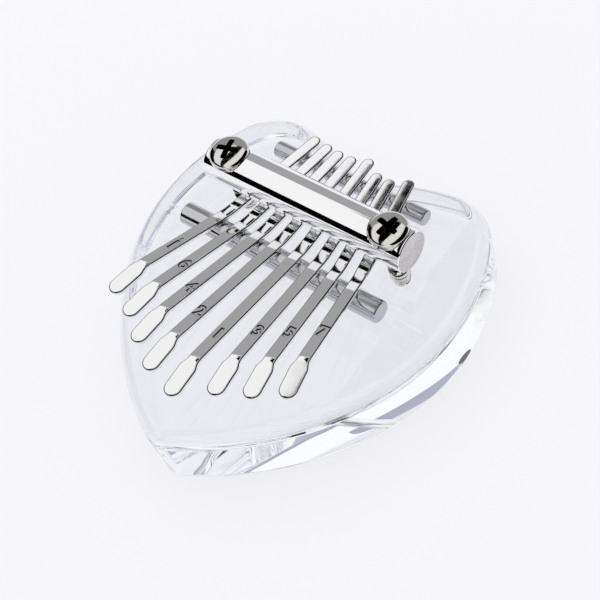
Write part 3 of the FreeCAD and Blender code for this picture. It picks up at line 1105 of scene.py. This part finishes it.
@dataclass
class KeySet:
    """The eight sprung keys, made from one blank."""

    labels: dict[str, str] = field(default_factory=lambda: {
        "1_high": "1", "6": "6", "4": "4", "2": "2", "1": "1", "3": "3", "5": "5", "7": "7"})
    dotted: str = "1_high"
    thickness: float = 1.1
    width: float = 2.5
    pad_width: float = 3.6
    pad_length: float = 8.5
    flare: float = 2.4
    pad_drop: float = 1.7
    rise: float = 13.6
    clamp_tilt: float = 1.5
    clamp_curve: float = 13.0
    bend_radius: float = 3.0
    edge_round: float = 0.32
    edge_slope: tuple[float, float] = (0.4, 0.9)
    blank_reach: float = 20.0
    blank_tail: float = 20.0
    flat_share: float = 0.9
    stretch_share: float = 0.75
    flare_steps: int = 6
    flex_length: float = 5.0
    flex_steps: int = 5
    figure_back: float = 6.8
    figure_size: float = 3.6
    figure_depth: float = 0.2
    dot_radius: float = 0.36
    dot_back: float = 2.2
    clamp_steps: int = 12
    bend_steps: int = 10
    tail_steps: int = 10
    pad_steps: int = 12
    edge_steps: int = 4
    edge_angle: float = 50.0
    flat_angle: float = 0.5
    figure_steps: int = 6
    crease: float = 32.0

    def corner_run(self) -> float:
        """How far behind the crest, in millimetres, the rising and the clamped lines would meet.

        Returns:
            The distance along the rising line.
        """
        front, front_radius = rod_line("front_bridge")
        rear, rear_radius = rod_line("rear_bridge")
        rise, tilt = math.radians(self.rise), math.radians(self.clamp_tilt)
        crest_y = front.y + front_radius * math.sin(rise)
        crest_z = front.z + front_radius * math.cos(rise)
        touch_y = rear.y + rear_radius * math.sin(tilt)
        touch_z = rear.z + rear_radius * math.cos(tilt)
        gap = crest_z - touch_z - (touch_y - crest_y) * math.tan(tilt)
        return gap / (math.tan(rise) - math.tan(tilt)) / math.cos(rise) / MM

    def place(self, note: str, joint: dict[str, Any]) -> KeyPlace:
        """Read one key's place from the frame.

        Args:
            note: the key's name in the frame.
            joint: the record's joint for it.

        Returns:
            The key's place.
        """
        tongue_low, tongue_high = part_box(f"key_{note}_tongue")
        anchor_low, anchor_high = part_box(f"key_{note}_anchor")
        crest = Vector(joint["pos_m"]) - Vector((0, 0, self.thickness / 2 * MM))
        fan = math.atan2(joint["axis"][1], joint["axis"][0])
        rise, drop = math.radians(self.rise), math.radians(self.pad_drop)
        half_pad, half = self.pad_width / 2 * MM, self.width / 2 * MM
        to_round = (crest.y - tongue_low.y - half_pad) / math.cos(fan)
        reach = (to_round + half_pad - self.pad_length * MM * math.cos(drop)) / math.cos(rise)
        tail = (anchor_high.y - crest.y - half) / math.cos(fan) + half
        return KeyPlace(note, self.labels[note], crest, math.degrees(fan), reach, tail)

    @staticmethod
    def run_on(length: float, degrees: float, widen: float = 1.0) -> None:
        """Draw the picked edge of the ribbon out by one step.

        Args:
            length: towards the player, in millimetres.
            degrees: how steeply the step climbs towards the player.
            widen: how much wider the new edge is.
        """
        forward, up = length * math.cos(math.radians(degrees)), length * math.sin(math.radians(degrees))
        bpy.ops.mesh.extrude_edges_move(TRANSFORM_OT_translate={"value": (0, -forward * MM, up * MM)})
        if widen != 1.0:
            stretch(widen)

    def round_off(self, half_width: float, degrees: float, sign: int, steps: int) -> None:
        """Round the picked end of the ribbon.

        Args:
            half_width: of the ribbon, in millimetres.
            degrees: how steeply the ribbon climbs towards the player.
            sign: 1 at the player's end and -1 at the tail.
            steps: how many steps the round has.
        """
        for step in range(steps):
            start, end = (math.pi / 2 * number / steps for number in (step, step + 1))
            along = half_width * (math.sin(end) - math.sin(start)) * sign
            last = step == steps - 1
            widen = math.cos(end) / math.cos(start)
            self.run_on(along, degrees, 1.0 if last else widen)
            if last:
                bpy.ops.mesh.merge(type="CENTER")

    def ribbon(self) -> bpy.types.Object:
        """The blank's underside, with the crest at the origin and the pad towards -Y.

        Returns:
            The flat ribbon, bent to the key's side view.
        """
        rise, drop, tilt = (math.radians(angle) for angle in (self.rise, self.pad_drop, self.clamp_tilt))
        half = self.width / 2
        straight = self.corner_run() - self.clamp_curve * math.tan((rise - tilt) / 2)
        piece = single_vertex("key_blank", Vector((-half * MM, 0, 0)))
        with editing(piece, Pick.VERTS):
            pick_all()
            draw_out(self.width, 0, 0)
        with editing(piece, Pick.EDGES):
            pick(piece, Pick.EDGES, lambda edge: True)
            self.run_on(-straight, self.rise)
            middle = Vector((0, math.cos(rise) * straight + math.sin(rise) * self.clamp_curve,
                             math.cos(rise) * self.clamp_curve - math.sin(rise) * straight))
            sweep_round(middle * MM, ALONG_RODS, self.rise - self.clamp_tilt, self.clamp_steps)
            back = (self.blank_tail - half - straight * math.cos(rise)
                    - self.clamp_curve * (math.sin(rise) - math.sin(tilt)))
            self.run_on(-back, self.clamp_tilt)
            self.round_off(half, self.clamp_tilt, -1, self.tail_steps)
        with editing(piece, Pick.EDGES):
            pick(piece, Pick.EDGES, lambda edge: all(abs(v.co.y) < NEAR for v in edge.verts))
            for _ in range(self.flex_steps):
                self.run_on(self.flex_length / self.flex_steps, self.rise)
            inner = self.bend_radius - self.thickness / 2
            setback = self.bend_radius * math.tan((rise + drop) / 2)
            self.run_on(self.blank_reach - setback - self.flex_length, self.rise)
            bend = (self.blank_reach - setback) * Vector((0, -math.cos(rise), math.sin(rise)))
            centre = bend + inner * Vector((0, -math.sin(rise), -math.cos(rise)))
            sweep_round(centre * MM, ALONG_RODS, self.rise + self.pad_drop, self.bend_steps)
            width = self.width
            for number in range(1, self.flare_steps + 1):
                share = number / self.flare_steps
                wanted = self.width + (self.pad_width - self.width) * share * share * (3 - 2 * share)
                self.run_on((self.flare - setback) / self.flare_steps, -self.pad_drop, wanted / width)
                width = wanted
            self.run_on(self.pad_length - self.flare - self.pad_width / 2, -self.pad_drop)
            self.round_off(self.pad_width / 2, -self.pad_drop, 1, self.pad_steps)
        return piece

    def blank(self) -> bpy.types.Object:
        """The solid blank, with rounded edges.

        Returns:
            The closed blank.
        """
        piece = self.ribbon()
        with editing(piece, Pick.FACES):
            pick_all()
            bpy.ops.mesh.remove_doubles(threshold=SEAM / 2)
            bpy.ops.mesh.normals_make_consistent(inside=False)
            pad_start = min(v.co.y for v in piece.data.vertices) + self.pad_length * self.flat_share * MM
            tail_start = max(v.co.y for v in piece.data.vertices) - self.width * MM
            for flat in (lambda v: v.co.y < pad_start, lambda v: v.co.y > tail_start):
                pick(piece, Pick.FACES, lambda face: all(flat(v) for v in face.verts))
                bpy.ops.mesh.dissolve_limited(angle_limit=math.radians(self.flat_angle))
        if sum(face.normal.z for face in piece.data.polygons) < 0:
            with editing(piece, Pick.FACES):
                pick_all()
                bpy.ops.mesh.flip_normals()
        apply_modifier(piece, "SOLIDIFY", thickness=self.thickness * MM, offset=1.0, use_even_offset=True)
        apply_modifier(piece, "BEVEL", width=self.edge_round * MM, segments=self.edge_steps,
                       limit_method="ANGLE", angle_limit=math.radians(self.edge_angle),
                       use_clamp_overlap=False)
        outward(piece)
        return piece

    def figure_tool(self, place: KeyPlace) -> list[bpy.types.Object]:
        """The punches that stamp one key's number, and its dot if it has one.

        Args:
            place: the key's place.

        Returns:
            The cutters, in the blank's own frame.
        """
        rise = math.radians(self.rise)
        along = place.reach - self.figure_back * MM
        up = Vector((0, math.sin(rise), math.cos(rise)))
        shaft = Vector((0, -math.cos(rise), math.sin(rise)))
        spot = shaft * along + up * self.thickness * MM
        deselect_everything()
        bpy.ops.object.text_add(location=spot, rotation=(-rise, 0, 0))
        tool = named(f"punch_{place.note}")
        tool.data.body = place.label
        tool.data.size = self.figure_size * MM
        tool.data.bevel_depth = self.figure_depth * MM
        tool.data.bevel_resolution = 0
        tool.data.align_x = "CENTER"
        tool.data.align_y = "CENTER"
        tool.data.resolution_u = self.figure_steps
        bpy.ops.object.convert(target="MESH")
        tool = bpy.context.active_object
        settle(tool)
        outward(tool)
        tools = [tool]
        if place.note == self.dotted:
            deselect_everything()
            bpy.ops.mesh.primitive_uv_sphere_add(segments=24, ring_count=12, radius=self.dot_radius * MM,
                                                 location=spot - shaft * self.dot_back * MM)
            dot = named("punch_dot")
            settle(dot)
            tools.append(dot)
        return tools

    def key(self, blank: bpy.types.Object, place: KeyPlace, face_finish: bpy.types.Material,
            painted_dark_edge: bpy.types.Material) -> bpy.types.Object:
        """Make one key from the blank.

        Args:
            blank: the shape that all keys share.
            place: where this key lies.
            face_finish: of its faces.
            painted_dark_edge: the painted dark reflection on its rounded upper edges and the stamped figure's
                walls.

        Returns:
            The key, lying on the front bridge.
        """
        rise, tilt = math.radians(self.rise), math.radians(self.clamp_tilt)
        piece = duplicate(blank, f"key_{place.note}_visual")
        longer = place.reach - self.blank_reach * MM
        further = place.tail - self.blank_tail * MM
        halfway = -self.blank_reach / 2 * MM
        with editing(piece, Pick.VERTS):
            pick(piece, Pick.VERTS, lambda v: v.co.y < halfway)
            bpy.ops.transform.translate(value=(0, -longer * math.cos(rise), longer * math.sin(rise)))
            behind = self.stretch_share * self.blank_tail * MM
            pick(piece, Pick.VERTS, lambda v: v.co.y > behind)
            bpy.ops.transform.translate(value=(0, further * math.cos(tilt), -further * math.sin(tilt)))
        cut(piece, self.figure_tool(place))
        fan = math.radians(place.fan)
        piece.matrix_world = Matrix.Translation(place.crest) @ Matrix.Rotation(fan, 4, "Z")
        settle(piece)
        smooth(piece, self.crease)
        dress(piece, face_finish)
        # Painted dark reflection: a dark line on the rounded upper edges and on the figure's walls.
        add_finish_or_painted_shade(piece, painted_dark_edge,
                      lambda face: self.edge_slope[0] < face.normal.z < self.edge_slope[1])
        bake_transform(piece)
        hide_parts(f"key_{place.note}_anchor", f"key_{place.note}_tongue")
        return piece

    def build(self, joints: Sequence[dict[str, Any]]) -> list[bpy.types.Object]:
        """Make every key.

        Args:
            joints: the frame's joints, one a key.

        Returns:
            The keys, from the player's left to the right.
        """
        blank = self.blank()
        # The steel of the faces, and the painted dark reflection on the edges.
        face_and_painted_edge = KEY_STEEL.build(), KEY_PAINTED_DARK_EDGE.build()
        by_child = {joint["child"]: joint for joint in joints}
        made = [self.key(blank, self.place(note, by_child[f"key_{note}"]), *face_and_painted_edge) for note in self.labels]
        bpy.data.objects.remove(blank)
        return made


# ---- studio ---------------------------------------------------------------------------------------------


@dataclass
class Card:
    """A flat card that only shows in reflections.

    Attributes:
        name: the card's name.
        direction: azimuth from +X and height above the floor of its middle, in degrees.
        size: its width and height, in degrees as seen from the instrument.
        colour: its colour.
        glow: the strength of its own light.
        distance: from the instrument, in metres.
    """

    name: str
    direction: tuple[float, float]
    size: tuple[float, float]
    colour: str
    glow: float
    distance: float = 2.0


@dataclass
class Strip:
    """The edges of a narrow dark strip overhead, as shares of the height that it hangs at."""

    left: float
    right: float
    front: float
    back: float


@dataclass
class Studio:
    """A pale table under a soft white sky, with cards that give the metal its dark lines."""

    floor_size: float = 6.0
    floor_gap: float = 0.05
    floor_colour: str = "#656567"
    floor_glow_colour: str = "#FBFBFF"
    floor_glow: float = 0.8
    seen_through: str = "#A2A3B8"
    sky_colour: str = "#FFFFFF"
    sky_strength: float = 1.0
    lamp_size: float = 1.2
    lamp_power: float = 6.0
    lamp_place: tuple[float, float, float] = (-0.5, 0.35, 1.3)
    bounces: int = 24
    cards: tuple[Card, ...] = (
        Card("right_card", (10.0, 26.0), (110.0, 66.0), "#000000", 0.0),
        Card("left_card", (180.0, 16.0), (70.0, 40.0), "#000000", 0.0),
        Card("front_card", (-118.0, 19.0), (70.0, 26.0), "#000000", 0.0),
        Card("back_card", (120.0, 20.0), (90.0, 52.0), "#A8A7A9", 1.0, 1.4),
    )
    strip_height: float = 2.0
    strips: tuple[Strip, ...] = (Strip(-0.47, -0.1, -4.0, 4.0), Strip(-0.585, -0.3, 0.56, 0.68))

    def floor(self) -> None:
        """The table top."""
        deselect_everything()
        bpy.ops.mesh.primitive_grid_add(x_subdivisions=4, y_subdivisions=4, size=self.floor_size,
                                        location=(0, 0, -self.floor_gap * MM))
        piece = named("table_top")
        settle(piece)
        material, tree = empty_material("opal table lit from below")
        shader = add_node(tree, "ShaderNodeBsdfPrincipled",
                          {"Base Color": linear(self.floor_colour), "Roughness": 0.9,
                           "Specular IOR Level": 0.1, "Emission Color": linear(self.floor_glow_colour),
                           "Emission Strength": self.floor_glow})
        add_node(tree, "ShaderNodeOutputMaterial", None, {"Surface": shader.outputs["BSDF"]})
        piece.data.materials.append(material)

    def only_in_reflections(self, piece: bpy.types.Object, colour: str, glow: float) -> None:
        """Give a card its glow, and keep it out of sight except in metal and, if dark, through plastic.

        Args:
            piece: the card.
            colour: its colour.
            glow: the strength of its own light.
        """
        material, tree = empty_material(piece.name)
        through_plastic = add_node(tree, "ShaderNodeLightPath").outputs["Is Transmission Ray"]
        shown = add_node(tree, "ShaderNodeMix", {"A": glow, "B": 1.0}, {"Factor": through_plastic})
        shade = add_node(tree, "ShaderNodeMixRGB",
                         {"Color1": linear(colour), "Color2": linear(self.seen_through)},
                         {"Fac": through_plastic})
        shader = add_node(tree, "ShaderNodeEmission", None,
                          {"Color": shade.outputs["Color"], "Strength": shown.outputs["Result"]})
        add_node(tree, "ShaderNodeOutputMaterial", None, {"Surface": shader.outputs["Emission"]})
        piece.data.materials.append(material)
        piece.visible_camera = False
        piece.visible_diffuse = False
        piece.visible_shadow = False
        piece.visible_transmission = glow == 0.0

    def stand_card(self, card: Card) -> None:
        """Stand one card round the instrument.

        Args:
            card: which one.
        """
        around, above = (math.radians(angle) for angle in card.direction)
        towards = Vector((math.cos(around) * math.cos(above), math.sin(around) * math.cos(above),
                          math.sin(above)))
        width, height = (2 * card.distance * math.tan(math.radians(angle) / 2) for angle in card.size)
        deselect_everything()
        bpy.ops.mesh.primitive_plane_add(size=1.0, location=(0, 0, 0))
        piece = named(card.name)
        facing_in = (-towards).to_track_quat("Z", "Y").to_matrix().to_4x4()
        scale = Matrix.Diagonal((width, height, 1.0, 1.0))
        piece.matrix_world = Matrix.Translation(towards * card.distance) @ facing_in @ scale
        settle(piece)
        self.only_in_reflections(piece, card.colour, card.glow)

    def hang_strips(self) -> None:
        """Hang narrow dark strips overhead, which line the edges of the keys and of the screw heads."""
        for number, strip in enumerate(self.strips, 1):
            deselect_everything()
            middle = Vector(((strip.left + strip.right) / 2, (strip.front + strip.back) / 2, 1))
            bpy.ops.mesh.primitive_plane_add(size=1.0, location=middle * self.strip_height,
                                             rotation=(math.pi, 0, 0))
            piece = named(f"dark_strip_{number}")
            piece.scale = ((strip.right - strip.left) * self.strip_height,
                           (strip.back - strip.front) * self.strip_height, 1.0)
            settle(piece)
            self.only_in_reflections(piece, "#000000", 0.0)

    def build(self) -> None:
        """Lay the table, light it and stand the cards."""
        self.floor()
        for card in self.cards:
            self.stand_card(card)
        self.hang_strips()
        world = bpy.data.worlds.new("white sky")
        world.use_nodes = True
        world.node_tree.nodes.clear()
        sky = add_node(world.node_tree, "ShaderNodeBackground",
                       {"Color": linear(self.sky_colour), "Strength": self.sky_strength})
        add_node(world.node_tree, "ShaderNodeOutputWorld", None, {"Surface": sky.outputs["Background"]})
        bpy.context.scene.world = world
        lamp_data = bpy.data.lights.new("soft_box", "AREA")
        lamp_data.shape = "SQUARE"
        lamp_data.size = self.lamp_size
        lamp_data.energy = self.lamp_power
        lamp = bpy.data.objects.new("soft_box", lamp_data)
        place = Vector(self.lamp_place)
        lamp.matrix_world = Matrix.Translation(place) @ place.to_track_quat("Z", "Y").to_matrix().to_4x4()
        lamp.visible_glossy = False
        lamp.visible_transmission = False
        bpy.context.scene.collection.objects.link(lamp)
        bpy.context.scene.view_settings.view_transform = "Standard"
        bpy.context.scene.cycles.glossy_bounces = self.bounces
        bpy.context.scene.cycles.transmission_bounces = self.bounces
        bpy.context.scene.cycles.max_bounces = self.bounces


@dataclass
class Viewpoint:
    """The camera, by where it stands round the instrument."""

    azimuth: float = 54.506
    elevation: float = 55.362
    roll: float = 21.310
    distance: float = 292.68
    lens: float = 92.126
    target: tuple[float, float, float] = (6.463, 1.259, 15.0)

    def build(self) -> bpy.types.Object:
        """Make the camera and set it.

        Returns:
            The camera.
        """
        around, above, roll = (math.radians(angle) for angle in (self.azimuth, self.elevation, self.roll))
        back = Vector((math.sin(around) * math.cos(above), -math.cos(around) * math.cos(above),
                       math.sin(above)))
        right = (-back).cross(UP).normalized()
        down = (-back).cross(right)
        level_right = right * math.cos(roll) + down * math.sin(roll)
        up = right * math.sin(roll) - down * math.cos(roll)
        data = bpy.data.cameras.new("camera")
        data.lens = self.lens
        data.sensor_width = 36.0
        data.clip_start = 0.01
        data.clip_end = 20.0
        camera = bpy.data.objects.new("camera", data)
        turn = Matrix((level_right, up, back)).transposed().to_4x4()
        camera.matrix_world = Matrix.Translation(Vector(self.target) * MM + back * self.distance * MM) @ turn
        bpy.context.scene.collection.objects.link(camera)
        bpy.context.scene.camera = camera
        return camera


def report(pieces: Sequence[bpy.types.Object]) -> None:
    """Log each piece that has been made."""
    for piece in pieces:
        LOG.info("%s: %d faces", piece.name, len(piece.data.polygons))


def main() -> None:
    """Build the instrument piece by piece, then its table, light and camera."""
    logging.basicConfig(level=logging.INFO, format="%(message)s")
    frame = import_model()
    Viewpoint().build()
    report([HeartBody().build()])
    bridge_steel = BRIDGE_STEEL.build()
    report([BridgeRod("front_bridge").build(bridge_steel), BridgeRod("rear_bridge").build(bridge_steel)])
    report([PressureBar().build()])
    report(PanScrew().build())
    report(KeySet().build(frame["joints"]))
    Studio().build()


if __name__ == "__main__":
    main()
